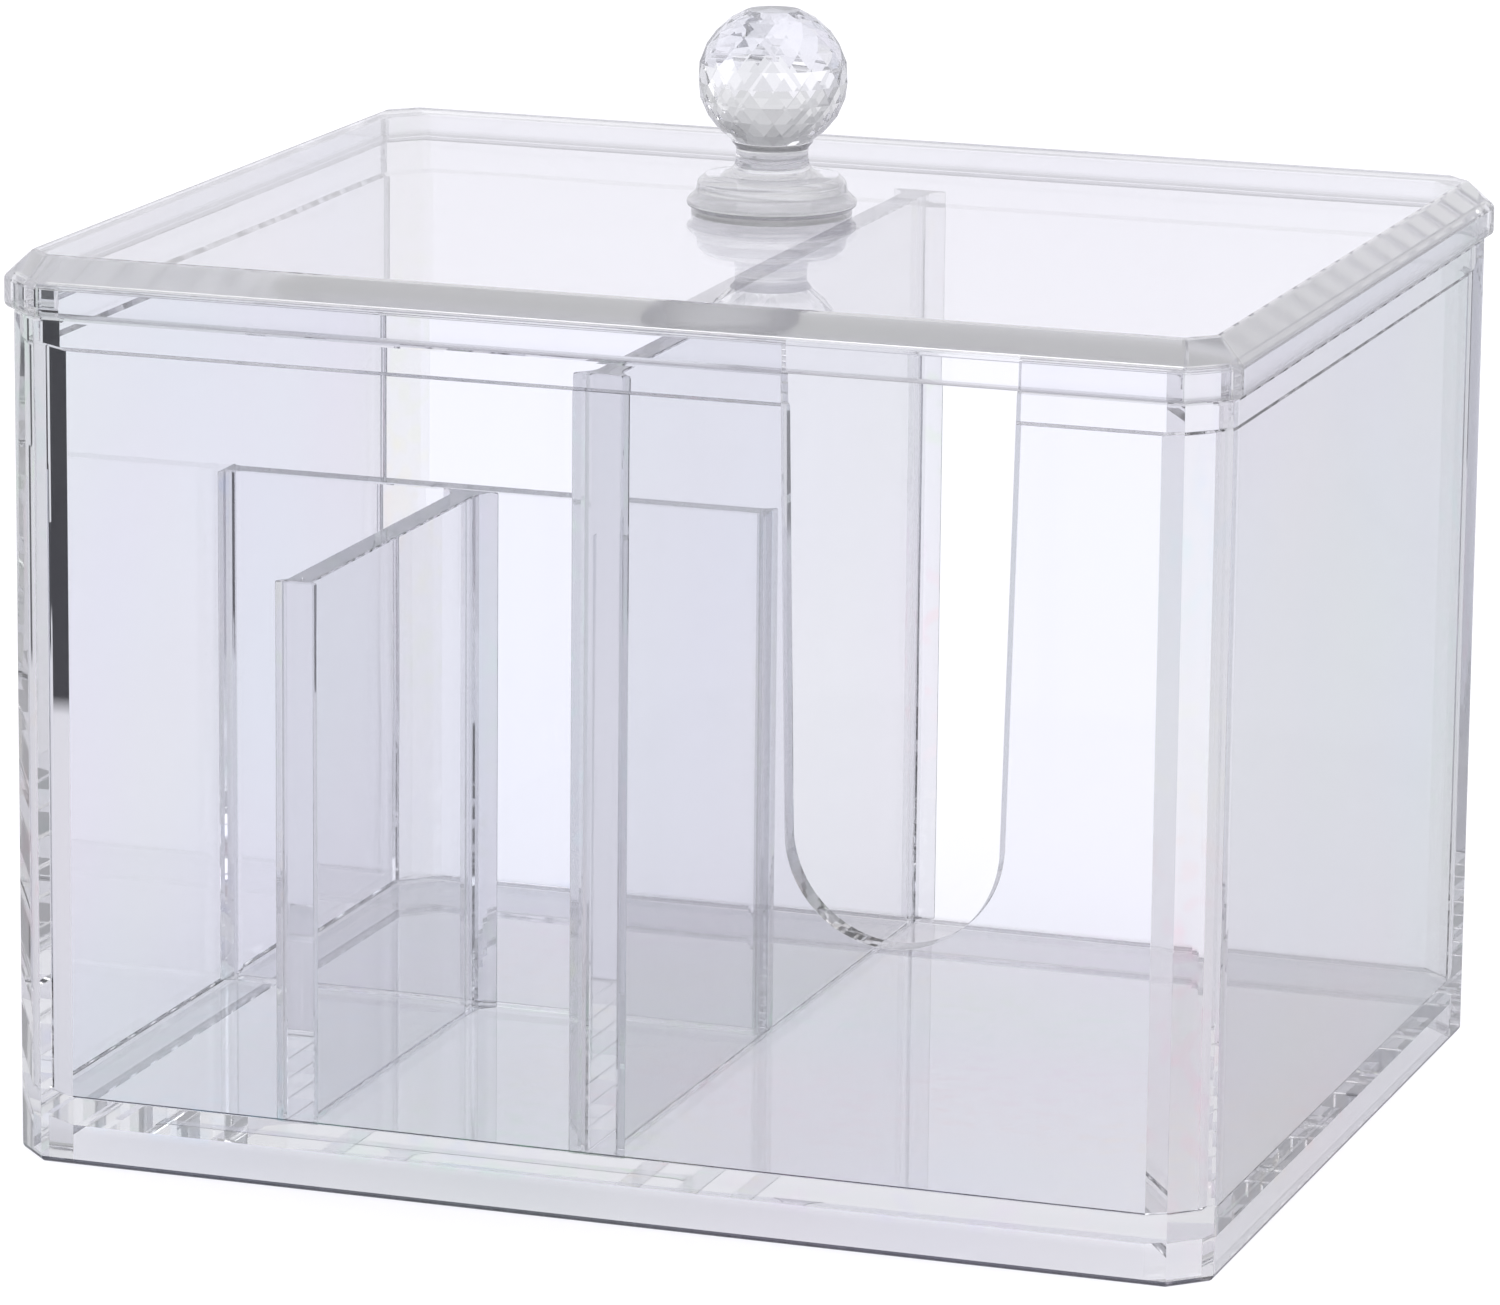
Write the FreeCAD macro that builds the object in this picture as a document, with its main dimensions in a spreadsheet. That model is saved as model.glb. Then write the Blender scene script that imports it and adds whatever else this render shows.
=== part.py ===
import FreeCAD, Part
import math
import os

import Sketcher

# Clear storage box with a lift-off lid: a tub with cut corners and a raised floor, three dividers,
# a cap lid that fits over the tub's neck, and a faceted knob bonded to the lid.
# Frame: X to the right, Y to the back, Z up, origin at the centre of the tub's underside.

doc = FreeCAD.newDocument("storage_box")

# Driving dimensions in millimetres. The tub's heights are measured up from the underside, the dividers'
# drops down from the ledge and from the main divider's top, and the knob's rises from one another.
driving_sizes = {
    "tub_width": 136,
    "tub_depth": 112,
    "ledge_height": 94,
    "wall": 3,
    "corner_cut": 4,
    "inner_corner_extra": 1.76,
    "foot_height": 4,
    "floor_thickness": 3,
    "neck_recess_share": 0.333,
    "mouth_relief": 0.6,
    "mouth_band_drop": 2,
    "mouth_band_height": 2,
    "slot_low_height": 33.6,
    "slot_radius": 11.8,
    "slot_flare": 1.1,
    "divider_thickness": 3,
    "main_divider_drop": 2,
    "main_divider_flare": 1.8,
    "low_divider_drop": 25,
    "low_divider_flare": 1,
    "cross_depth_share": 0.5,
    "swab_width_share": 0.48,
    "lid_overhang": 1,
    "skirt_height": 3.2,
    "skirt_clearance": 0.3,
    "rim_clearance": 0.3,
    "lid_plate_thickness": 3.2,
    "lid_bevel_share": 0.9,
    "knob_seat_depth": 0.3,
    "knob_seat_clearance": 0.15,
    "knob_neck_radius": 4,
    "knob_cove_radius": 2,
    "knob_dish_flat": 1.4,
    "knob_dish_inset": 1.1,
    "knob_foot_inset": 1.3,
    "knob_foot_edge": 1.3,
    "knob_foot_rise": 1.6,
    "knob_shoulder_rise": 1.1,
    "knob_dish_rise": 0.7,
    "knob_neck_rise": 1.1,
    "knob_top_rise": 0.7,
    "ball_radius": 8.8,
    "ball_squash_share": 0.92,
    "ball_seat_share": 0.525,
    "ball_crown_share": 0.35,
    "cut_overrun": 1,
}
BALL_SIDES = 12
BALL_ROWS = 6

sheet = doc.addObject("Spreadsheet::Sheet", "Sizes")
for row, (name, number) in enumerate(driving_sizes.items(), start=1):
    sheet.set(f"A{row}", name)
    sheet.set(f"B{row}", str(number))
    sheet.setAlias(f"B{row}", name)
doc.recompute()

# Derived sizes, written as expressions on the sheet's cells.
half_width = "(Sizes.tub_width / 2)"
half_depth = "(Sizes.tub_depth / 2)"
inner_half_width = f"({half_width} - Sizes.wall)"
inner_half_depth = f"({half_depth} - Sizes.wall)"
floor_top = "(Sizes.foot_height + Sizes.floor_thickness)"
neck_recess = "(Sizes.wall * Sizes.neck_recess_share)"
neck_height = "(Sizes.skirt_height - Sizes.rim_clearance)"
rim_top = f"(Sizes.ledge_height + {neck_height})"
band_top = "(Sizes.ledge_height - Sizes.mouth_band_drop)"
band_bottom = f"({band_top} - Sizes.mouth_band_height)"
half_divider = "(Sizes.divider_thickness / 2)"
main_divider_height = f"(Sizes.ledge_height - Sizes.main_divider_drop - {floor_top})"
low_divider_height = f"({main_divider_height} - Sizes.low_divider_drop)"
cross_y = f"({inner_half_depth} * (2 * Sizes.cross_depth_share - 1))"
swab_x = f"(-{inner_half_width} + ({inner_half_width} - {half_divider}) * Sizes.swab_width_share)"
slot_x = f"(({inner_half_width} + {half_divider}) / 2)"
skirt_thickness = f"(Sizes.lid_overhang + {neck_recess} - Sizes.skirt_clearance)"
lid_top = "(Sizes.ledge_height + Sizes.skirt_height + Sizes.lid_plate_thickness)"
knob_bottom = f"({lid_top} - Sizes.knob_seat_depth)"
knob_dish_edge = "(Sizes.knob_neck_radius + Sizes.knob_cove_radius + Sizes.knob_dish_flat)"
knob_shoulder = f"({knob_dish_edge} + Sizes.knob_dish_inset)"
knob_foot = f"({knob_shoulder} + Sizes.knob_foot_inset)"
knob_foot_edge_top = f"({knob_bottom} + Sizes.knob_foot_edge)"
knob_shoulder_bottom = f"({knob_foot_edge_top} + Sizes.knob_foot_rise)"
knob_shoulder_top = f"({knob_shoulder_bottom} + Sizes.knob_shoulder_rise)"
knob_dish = f"({knob_shoulder_top} + Sizes.knob_dish_rise)"
knob_cove_top = f"({knob_dish} + Sizes.knob_cove_radius)"
knob_neck_top = f"({knob_cove_top} + Sizes.knob_neck_rise)"
knob_top = f"({knob_neck_top} + Sizes.knob_top_rise)"
ball_seat_radius = "(Sizes.ball_radius * Sizes.ball_seat_share)"


def value(expression):
    """Number that an expression on the sheet gives."""
    return float(sheet.evalExpression(expression))


def parallel_cut(cut, outward):
    """Corner cut of an outline that runs parallel to a cut-cornered one, a distance outside it."""
    return f"({cut} + ({outward}) * (2 - sqrt(2)))"


inner_cut = f"({parallel_cut('Sizes.corner_cut', '-Sizes.wall')} + Sizes.inner_corner_extra)"


def new_body(label):
    body = doc.addObject("PartDesign::Body", label)
    body.Label = label
    return body


def new_sketch(body, name, role, offset=None):
    """Sketch on one of the body's own origin planes, moved along its normal by an expression."""
    sketch = body.newObject("Sketcher::SketchObject", name)
    plane = next(item for item in body.Origin.OriginFeatures if item.Role == role)
    sketch.AttachmentSupport = [(plane, "")]
    sketch.MapMode = "FlatFace"
    if offset:
        sketch.setExpression("AttachmentOffset.Base.z", offset)
    return sketch


def hold(sketch, curve, point, x=None, y=None):
    """Fixes a point's distances from the sketch's origin by expressions; a zero lies on the axis."""
    for kind, axis, expression in (("DistanceX", -2, x), ("DistanceY", -1, y)):
        if expression == "0":
            sketch.addConstraint(Sketcher.Constraint("PointOnObject", curve, point, axis))
        elif expression:
            distance = Sketcher.Constraint(kind, -1, 1, curve, point, value(expression))
            index = sketch.addConstraint(distance)
            sketch.setExpression(f"Constraints[{index}]", expression)


def draw_outline(sketch, corners):
    """Closed outline of straight lines, with every corner held by its two expressions."""
    points = [FreeCAD.Vector(value(x), value(y), 0) for x, y in corners]
    count = len(corners)
    for index, start in enumerate(points):
        sketch.addGeometry(Part.LineSegment(start, points[(index + 1) % count]))
    for index in range(count):
        sketch.addConstraint(Sketcher.Constraint("Coincident", index, 2, (index + 1) % count, 1))
    for index, (x, y) in enumerate(corners):
        hold(sketch, index, 1, x, y)


def cut_rectangle(sketch, half_x, half_y, cut):
    """Rectangle about the origin with its four corners cut off at 45 degrees."""
    near_x = f"({half_x} - {cut})"
    near_y = f"({half_y} - {cut})"
    draw_outline(sketch, [
        (near_x, f"-{half_y}"), (half_x, f"-{near_y}"), (half_x, near_y), (near_x, half_y),
        (f"-{near_x}", half_y), (f"-{half_x}", near_y),
        (f"-{half_x}", f"-{near_y}"), (f"-{near_x}", f"-{half_y}"),
    ])


def add_feature(body, kind, name, profile, length, reversed_way=False):
    """Pad or Pocket of a sketch, as long as an expression says."""
    feature = body.newObject(kind, name)
    feature.Profile = profile
    feature.setExpression("Length", length)
    feature.Reversed = reversed_way
    doc.recompute()
    return feature


def add_circle(sketch, radius):
    """Circle about the sketch's origin."""
    sketch.addGeometry(Part.Circle(FreeCAD.Vector(), FreeCAD.Vector(0, 0, 1), value(radius)))
    sketch.addConstraint(Sketcher.Constraint("Coincident", 0, 3, -1, 1))
    index = sketch.addConstraint(Sketcher.Constraint("Radius", 0, value(radius)))
    sketch.setExpression(f"Constraints[{index}]", radius)


def make_box_shell():
    """Tub: cut-cornered walls on a raised floor, a recessed neck for the lid and a finger slot in front."""
    body = new_body("box_shell")

    wall_plan = new_sketch(body, "wall_plan", "XY_Plane")
    cut_rectangle(wall_plan, half_width, half_depth, "Sizes.corner_cut")
    add_feature(body, "PartDesign::Pad", "walls", wall_plan, "Sizes.ledge_height")

    neck_plan = new_sketch(body, "neck_plan", "XY_Plane", "Sizes.ledge_height")
    neck_cut = parallel_cut("Sizes.corner_cut", f"-{neck_recess}")
    cut_rectangle(neck_plan, f"({half_width} - {neck_recess})", f"({half_depth} - {neck_recess})", neck_cut)
    add_feature(body, "PartDesign::Pad", "neck", neck_plan, neck_height)

    inner_plan = new_sketch(body, "inner_plan", "XY_Plane", rim_top)
    cut_rectangle(inner_plan, inner_half_width, inner_half_depth, inner_cut)
    add_feature(body, "PartDesign::Pocket", "inside", inner_plan, f"{rim_top} - {floor_top}")

    # The mouth is a little wider than the inside below it, and a sloping band leads from one to the other.
    mouth_half_width = f"({inner_half_width} + Sizes.mouth_relief)"
    mouth_half_depth = f"({inner_half_depth} + Sizes.mouth_relief)"
    mouth_cut = parallel_cut(inner_cut, "Sizes.mouth_relief")
    mouth_plan = new_sketch(body, "mouth_plan", "XY_Plane", rim_top)
    cut_rectangle(mouth_plan, mouth_half_width, mouth_half_depth, mouth_cut)
    add_feature(body, "PartDesign::Pocket", "mouth", mouth_plan, f"{rim_top} - {band_top}")

    band_high = new_sketch(body, "band_high", "XY_Plane", band_top)
    cut_rectangle(band_high, mouth_half_width, mouth_half_depth, mouth_cut)
    band_low = new_sketch(body, "band_low", "XY_Plane", band_bottom)
    cut_rectangle(band_low, inner_half_width, inner_half_depth, inner_cut)
    band = body.newObject("PartDesign::SubtractiveLoft", "band")
    band.Profile = band_high
    band.Sections = [(band_low, "")]
    band.Ruled = True
    doc.recompute()

    foot_plan = new_sketch(body, "foot_plan", "XY_Plane")
    cut_rectangle(foot_plan, inner_half_width, inner_half_depth, inner_cut)
    add_feature(body, "PartDesign::Pocket", "foot_recess", foot_plan, "Sizes.foot_height", True)

    slot_face = new_sketch(body, "slot_face", "XZ_Plane", f"{half_depth} + Sizes.cut_overrun")
    draw_slot(slot_face)
    add_feature(body, "PartDesign::Pocket", "slot", slot_face, "Sizes.wall + 2 * Sizes.cut_overrun")
    return body


def draw_slot(sketch):
    """U outline, open past the rim, whose sides lean out a little from the round bottom to the mouth."""
    left = f"({slot_x} - Sizes.slot_radius - Sizes.slot_flare)"
    right = f"({slot_x} + Sizes.slot_radius + Sizes.slot_flare)"
    top = f"({rim_top} + Sizes.cut_overrun)"
    centre_y = "(Sizes.slot_low_height + Sizes.slot_radius)"
    centre = FreeCAD.Vector(value(slot_x), value(centre_y), 0)
    radius = value("Sizes.slot_radius")
    left_low = centre - FreeCAD.Vector(radius, 0, 0)
    right_low = centre + FreeCAD.Vector(radius, 0, 0)
    left_high = FreeCAD.Vector(value(left), value(top), 0)
    right_high = FreeCAD.Vector(value(right), value(top), 0)
    left_side, bottom, right_side, mouth = range(4)
    sketch.addGeometry(Part.LineSegment(left_high, left_low))
    circle = Part.Circle(centre, FreeCAD.Vector(0, 0, 1), radius)
    sketch.addGeometry(Part.ArcOfCircle(circle, math.pi, 2 * math.pi))
    sketch.addGeometry(Part.LineSegment(right_low, right_high))
    sketch.addGeometry(Part.LineSegment(right_high, left_high))
    hold(sketch, bottom, 3, slot_x, centre_y)
    index = sketch.addConstraint(Sketcher.Constraint("Radius", bottom, radius))
    sketch.setExpression(f"Constraints[{index}]", "Sizes.slot_radius")
    hold(sketch, left_side, 1, left, top)
    hold(sketch, right_side, 2, right, top)
    sketch.addConstraint(Sketcher.Constraint("Tangent", left_side, 2, bottom, 1))
    sketch.addConstraint(Sketcher.Constraint("Tangent", right_side, 1, bottom, 2))
    sketch.addConstraint(Sketcher.Constraint("Coincident", right_side, 2, mouth, 1))
    sketch.addConstraint(Sketcher.Constraint("Coincident", mouth, 2, left_side, 1))


def make_divider(label, along, middle, start, end, flare, height):
    """Upright plate on the floor whose two ends widen to the faces that they are bonded to."""
    side = f"({middle} + {half_divider})"
    far_side = f"({middle} - {half_divider})"
    wide_side = f"({side} + {flare})"
    wide_far_side = f"({far_side} - {flare})"
    after_start = f"({start} + {flare})"
    before_end = f"({end} - {flare})"
    corners = [
        (wide_far_side, start), (wide_side, start), (side, after_start), (side, before_end),
        (wide_side, end), (wide_far_side, end), (far_side, before_end), (far_side, after_start),
    ]
    if along == "X":
        corners = [(y, x) for x, y in corners]
    body = new_body(label)
    plan = new_sketch(body, f"{label}_plan", "XY_Plane", floor_top)
    draw_outline(plan, corners)
    add_feature(body, "PartDesign::Pad", f"{label}_plate", plan, height)
    return body


def make_lid_cap():
    """Cap: a bevelled plate with a skirt that stands on the tub's ledge, and a round seat for the knob."""
    body = new_body("lid_cap")
    outer_half_width = f"({half_width} + Sizes.lid_overhang)"
    outer_half_depth = f"({half_depth} + Sizes.lid_overhang)"
    outer_cut = parallel_cut("Sizes.corner_cut", "Sizes.lid_overhang")

    lid_plan = new_sketch(body, "lid_plan", "XY_Plane", "Sizes.ledge_height")
    cut_rectangle(lid_plan, outer_half_width, outer_half_depth, outer_cut)
    lid_height = f"{lid_top} - Sizes.ledge_height"
    lid_block = add_feature(body, "PartDesign::Pad", "lid_block", lid_plan, lid_height)

    face_heights = [face.CenterOfMass.z for face in lid_block.Shape.Faces]
    top_face = face_heights.index(max(face_heights)) + 1
    bevel = body.newObject("PartDesign::Chamfer", "lid_edge")
    bevel.Base = (lid_block, [f"Face{top_face}"])
    bevel.setExpression("Size", "Sizes.lid_plate_thickness * Sizes.lid_bevel_share")
    doc.recompute()

    skirt_plan = new_sketch(body, "skirt_plan", "XY_Plane", "Sizes.ledge_height")
    skirt_half_width = f"({outer_half_width} - {skirt_thickness})"
    skirt_half_depth = f"({outer_half_depth} - {skirt_thickness})"
    skirt_cut = parallel_cut(outer_cut, f"-{skirt_thickness}")
    cut_rectangle(skirt_plan, skirt_half_width, skirt_half_depth, skirt_cut)
    add_feature(body, "PartDesign::Pocket", "lid_inside", skirt_plan, "Sizes.skirt_height", True)

    seat_plan = new_sketch(body, "seat_plan", "XY_Plane", lid_top)
    add_circle(seat_plan, f"({knob_foot} + Sizes.knob_seat_clearance)")
    add_feature(body, "PartDesign::Pocket", "knob_seat", seat_plan, "Sizes.knob_seat_depth")
    return body


def make_knob_base():
    """Turned foot of the knob: a stepped flange that draws in through a cove to a slim neck."""
    body = new_body("knob_base")
    profile = new_sketch(body, "knob_profile", "XZ_Plane")

    cove_start = "(Sizes.knob_neck_radius + Sizes.knob_cove_radius)"
    corners = [
        ("0", knob_bottom),
        (knob_foot, knob_bottom),
        (knob_foot, knob_foot_edge_top),
        (knob_shoulder, knob_shoulder_bottom),
        (knob_shoulder, knob_shoulder_top),
        (knob_dish_edge, knob_dish),
        (cove_start, knob_dish),
        ("Sizes.knob_neck_radius", knob_cove_top),
        ("Sizes.knob_neck_radius", knob_neck_top),
        (ball_seat_radius, knob_top),
        ("0", knob_top),
    ]
    cove = corners.index((cove_start, knob_dish))
    points = [FreeCAD.Vector(value(x), value(y), 0) for x, y in corners]
    count = len(corners)
    for index, start in enumerate(points):
        end = points[(index + 1) % count]
        if index == cove:
            centre = FreeCAD.Vector(start.x, end.y, 0)
            circle = Part.Circle(centre, FreeCAD.Vector(0, 0, 1), value("Sizes.knob_cove_radius"))
            profile.addGeometry(Part.ArcOfCircle(circle, math.pi, 3 * math.pi / 2))
        else:
            profile.addGeometry(Part.LineSegment(start, end))
    # The cove's arc runs from the neck down to the dish, so its two ends are the other way round.
    for index in range(count):
        following = (index + 1) % count
        leaving = 1 if index == cove else 2
        arriving = 2 if following == cove else 1
        profile.addConstraint(Sketcher.Constraint("Coincident", index, leaving, following, arriving))
    for index, (x, y) in enumerate(corners):
        hold(profile, index, 2 if index == cove else 1, x, y)
    hold(profile, cove, 3, cove_start)
    turning = body.newObject("PartDesign::Revolution", "turning")
    turning.Profile = profile
    turning.ReferenceAxis = (profile, ["V_Axis"])
    doc.recompute()
    return body


def make_knob_ball():
    """Faceted ball, a little flattened: rows of triangles between rings of points, flat at both ends."""
    radius = value("Sizes.ball_radius")
    half_height = radius * value("Sizes.ball_squash_share")
    low_angle = -math.acos(value("Sizes.ball_seat_share"))
    high_angle = math.acos(value("Sizes.ball_crown_share"))
    centre_z = value(knob_top) - half_height * math.sin(low_angle)
    rings = []
    for row in range(BALL_ROWS + 1):
        tilt = low_angle + (high_angle - low_angle) * row / BALL_ROWS
        half_step = row % 2
        ring = []
        for side in range(BALL_SIDES):
            turn = math.pi * (2 * side + half_step) / BALL_SIDES
            ring.append(FreeCAD.Vector(
                radius * math.cos(tilt) * math.cos(turn),
                radius * math.cos(tilt) * math.sin(turn),
                centre_z + half_height * math.sin(tilt),
            ))
        rings.append(ring)

    outlines = [rings[0], rings[-1]]
    for row in range(BALL_ROWS):
        lower = rings[row]
        upper = rings[row + 1]
        shift = row % 2
        for side in range(BALL_SIDES):
            following = (side + 1) % BALL_SIDES
            outlines.append([lower[side], lower[following], upper[(side + shift) % BALL_SIDES]])
            outlines.append([upper[side], upper[following], lower[(side + 1 - shift) % BALL_SIDES]])
    faces = [Part.Face(Part.makePolygon(outline + outline[:1])) for outline in outlines]
    ball = doc.addObject("Part::Feature", "knob_ball")
    ball.Label = "knob_ball"
    ball.Shape = Part.Solid(Part.Shell(faces))
    ball.Placement = FreeCAD.Placement()
    return ball


sub_parts = [
    make_box_shell(),
    make_divider(
        "main_divider", "Y", "0", f"-{inner_half_depth}", inner_half_depth,
        "Sizes.main_divider_flare", main_divider_height,
    ),
    make_divider(
        "cross_divider", "X", cross_y, f"-{inner_half_width}", f"-{half_divider}",
        "Sizes.low_divider_flare", low_divider_height,
    ),
    make_divider(
        "swab_divider", "Y", swab_x, f"-{inner_half_depth}", f"({cross_y} - {half_divider})",
        "Sizes.low_divider_flare", low_divider_height,
    ),
    make_lid_cap(),
    make_knob_base(),
    make_knob_ball(),
]
doc.recompute()

for item in doc.Objects:
    if "Invalid" in item.State or "Error" in item.State:
        raise RuntimeError(f"{item.Name} did not recompute: {item.State}")
for part in sub_parts:
    if part.Shape.isNull() or not part.Shape.isValid() or len(part.Shape.Solids) != 1:
        raise RuntimeError(f"{part.Label} is not one valid solid")

os.makedirs("parts", exist_ok=True)
for part in sub_parts:
    part.Shape.exportStep(f"parts/{part.Label}.step")
    box = part.Shape.BoundBox
    size = [round(length, 2) for length in (box.XLength, box.YLength, box.ZLength)]
    low_corner = [round(place, 2) for place in (box.XMin, box.YMin, box.ZMin)]
    print(part.Label, "volume", round(part.Shape.Volume, 1), "size", size, "from", low_corner)
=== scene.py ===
import math
import bmesh
import bpy
from mathutils import Matrix, Vector


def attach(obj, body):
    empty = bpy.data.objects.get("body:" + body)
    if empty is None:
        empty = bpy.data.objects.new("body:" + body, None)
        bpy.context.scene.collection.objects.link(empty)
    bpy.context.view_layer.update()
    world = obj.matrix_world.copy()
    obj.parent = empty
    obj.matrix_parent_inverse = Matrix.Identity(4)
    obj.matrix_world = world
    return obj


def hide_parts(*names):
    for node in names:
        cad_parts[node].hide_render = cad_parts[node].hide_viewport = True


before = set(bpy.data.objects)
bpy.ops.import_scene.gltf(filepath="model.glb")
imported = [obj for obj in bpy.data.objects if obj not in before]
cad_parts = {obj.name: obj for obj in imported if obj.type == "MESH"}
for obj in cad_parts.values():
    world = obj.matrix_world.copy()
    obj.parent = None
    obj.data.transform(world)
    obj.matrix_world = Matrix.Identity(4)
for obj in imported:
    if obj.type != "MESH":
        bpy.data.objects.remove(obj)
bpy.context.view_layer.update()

# The tub: four 3 mm acrylic walls with cut corners on a raised floor, moulded in one.
# A recessed neck takes the lid, and a finger slot with a round bottom is cut in the
# front wall.
TUB_WIDTH = 0.136
TUB_DEPTH = 0.112
LEDGE_HEIGHT = 0.094
WALL = 0.003
CORNER_CUT = 0.004
FOOT_HEIGHT = 0.004
FLOOR_TOP = 0.007
NECK_RECESS = 0.001
RIM_TOP = 0.0969
MOUTH_RELIEF = 0.0006
MOUTH_STEP_BOTTOM = 0.0901
MOUTH_STEP_TOP = 0.0905
INNER_WIDTH = TUB_WIDTH - 2 * WALL
INNER_DEPTH = TUB_DEPTH - 2 * WALL
EDGE_ROUND = 0.0005
FOOT_ROUND = 0.0007
FLOOR_FILLET = 0.0003
INNER_CORNER_ROUND = 0.0018
TUB_POLISH = 0.00003
SLOT_X = 0.03325
SLOT_RADIUS = 0.0118
SLOT_BOTTOM = 0.0336
SLOT_BOTTOM_FLAT = 0.00005
SLOT_FLARE = 0.0011
ROUND_STEPS = 4
FILLET_STEPS = 3
INNER_CORNER_STEPS = 5
SLOT_STEPS = 24
POLISH_STEPS = 2
POLISHED_ANGLE = math.radians(28)
STRAIGHT = 0.999
HAIR = 1e-5
OVERRUN = 0.002


def pick(piece, kind, wanted):
    """Opens a piece for editing with only the faces or edges selected that are wanted."""
    bpy.ops.object.select_all(action="DESELECT")
    piece.select_set(True)
    bpy.context.view_layer.objects.active = piece
    bpy.ops.object.mode_set(mode="EDIT")
    bpy.ops.mesh.select_mode(type=kind)
    bpy.ops.mesh.select_all(action="DESELECT")
    mesh = bmesh.from_edit_mesh(piece.data)
    mesh.normal_update()
    for item in mesh.faces if kind == "FACE" else mesh.edges:
        if wanted(item):
            item.select_set(True)
    bmesh.update_edit_mesh(piece.data)


def close(piece):
    bpy.ops.object.mode_set(mode="OBJECT")
    piece.select_set(False)


def middle(edge):
    return (edge.verts[0].co + edge.verts[1].co) / 2


def runs_along(edge, axis):
    run = (edge.verts[1].co - edge.verts[0].co).normalized()
    return abs(run[axis]) > STRAIGHT


def lies_at(edge, height):
    return all(abs(vert.co.z - height) < HAIR for vert in edge.verts)


def looks_up(face):
    return face.normal.z > STRAIGHT


def pull_up(height):
    """Extrudes what is selected straight up."""
    bpy.ops.mesh.extrude_region_move(TRANSFORM_OT_translate={"value": (0, 0, height)})


def round_edges(piece, wanted, size, steps):
    """Rounds the edges that are wanted, or cuts them off flat where there is one step."""
    pick(piece, "EDGE", wanted)
    bpy.ops.mesh.bevel(offset=size, segments=steps, affect="EDGES")
    close(piece)


def block(name, low, high):
    """A cube stretched between two corners, with its place in its mesh."""
    low, high = Vector(low), Vector(high)
    bpy.ops.object.select_all(action="DESELECT")
    bpy.ops.mesh.primitive_cube_add(size=1, location=(low + high) / 2)
    piece = bpy.context.object
    piece.scale = high - low
    bpy.ops.object.transform_apply(location=True, rotation=True, scale=True)
    piece.name = name
    piece.data.name = name
    return piece


def cut_block(name, width, depth, low, high, cut):
    """A block about the middle of the box with its four upright edges cut off."""
    piece = block(name, (-width / 2, -depth / 2, low), (width / 2, depth / 2, high))
    round_edges(piece, lambda edge: runs_along(edge, 2), cut, 1)
    return piece


def carve(piece, cutter):
    """Takes a cutter's shape out of a piece."""
    bpy.context.view_layer.objects.active = piece
    cut = piece.modifiers.new("cut", "BOOLEAN")
    cut.operation = "DIFFERENCE"
    cut.solver = "EXACT"
    cut.object = cutter
    bpy.ops.object.modifier_apply(modifier=cut.name)
    bpy.data.objects.remove(cutter, do_unlink=True)


def polish_edges(piece, width):
    """Rounds every sharp edge a little, as flame polishing does."""
    bpy.context.view_layer.objects.active = piece
    bevel = piece.modifiers.new("polish", "BEVEL")
    bevel.limit_method = "ANGLE"
    bevel.angle_limit = POLISHED_ANGLE
    bevel.width = width
    bevel.segments = POLISH_STEPS
    bpy.ops.object.modifier_apply(modifier=bevel.name)


tub = cut_block("tub", TUB_WIDTH, TUB_DEPTH, 0, LEDGE_HEIGHT, CORNER_CUT)
round_edges(tub, lambda edge: lies_at(edge, LEDGE_HEIGHT), EDGE_ROUND, ROUND_STEPS)
round_edges(tub, lambda edge: lies_at(edge, 0), FOOT_ROUND, ROUND_STEPS)
pick(tub, "FACE", looks_up)
bpy.ops.mesh.inset(thickness=NECK_RECESS - EDGE_ROUND)
pull_up(RIM_TOP - LEDGE_HEIGHT)
close(tub)


def inner_corner(edge):
    on_side_wall = abs(abs(middle(edge).x) - INNER_WIDTH / 2) < HAIR
    return on_side_wall and runs_along(edge, 2)


core = cut_block(
    "core", INNER_WIDTH, INNER_DEPTH, FLOOR_TOP, MOUTH_STEP_BOTTOM, CORNER_CUT)
round_edges(core, lambda edge: lies_at(edge, FLOOR_TOP), FLOOR_FILLET, FILLET_STEPS)
round_edges(core, inner_corner, INNER_CORNER_ROUND, INNER_CORNER_STEPS)
pick(core, "FACE", looks_up)
pull_up(MOUTH_STEP_TOP - MOUTH_STEP_BOTTOM)
bpy.ops.transform.resize(
    value=(1 + 2 * MOUTH_RELIEF / INNER_WIDTH, 1 + 2 * MOUTH_RELIEF / INNER_DEPTH, 1),
    center_override=(0, 0, MOUTH_STEP_TOP))
pull_up(RIM_TOP + OVERRUN - MOUTH_STEP_TOP)
close(core)
carve(tub, core)

slot_cutter = block(
    "slot_cutter",
    (SLOT_X - SLOT_RADIUS, -TUB_DEPTH / 2 - OVERRUN, SLOT_BOTTOM),
    (SLOT_X + SLOT_RADIUS, -INNER_DEPTH / 2 + OVERRUN, RIM_TOP + OVERRUN))
round_edges(
    slot_cutter,
    lambda edge: runs_along(edge, 1) and lies_at(edge, SLOT_BOTTOM),
    SLOT_RADIUS - SLOT_BOTTOM_FLAT, SLOT_STEPS)
pick(slot_cutter, "FACE", looks_up)
bpy.ops.transform.resize(
    value=(1 + SLOT_FLARE / SLOT_RADIUS, 1, 1), center_override=(SLOT_X, 0, RIM_TOP))
close(slot_cutter)
carve(tub, slot_cutter)
polish_edges(tub, TUB_POLISH)

foot_recess = cut_block(
    "foot_recess", INNER_WIDTH, INNER_DEPTH, -OVERRUN, FOOT_HEIGHT, CORNER_CUT)
carve(tub, foot_recess)
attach(tub, "box")
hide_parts("box_shell")


def feed(tree, value, socket):
    """Links a socket to what another node puts out, or sets it to a plain value."""
    if isinstance(value, bpy.types.NodeSocket):
        tree.links.new(value, socket)
    else:
        socket.default_value = value


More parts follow.
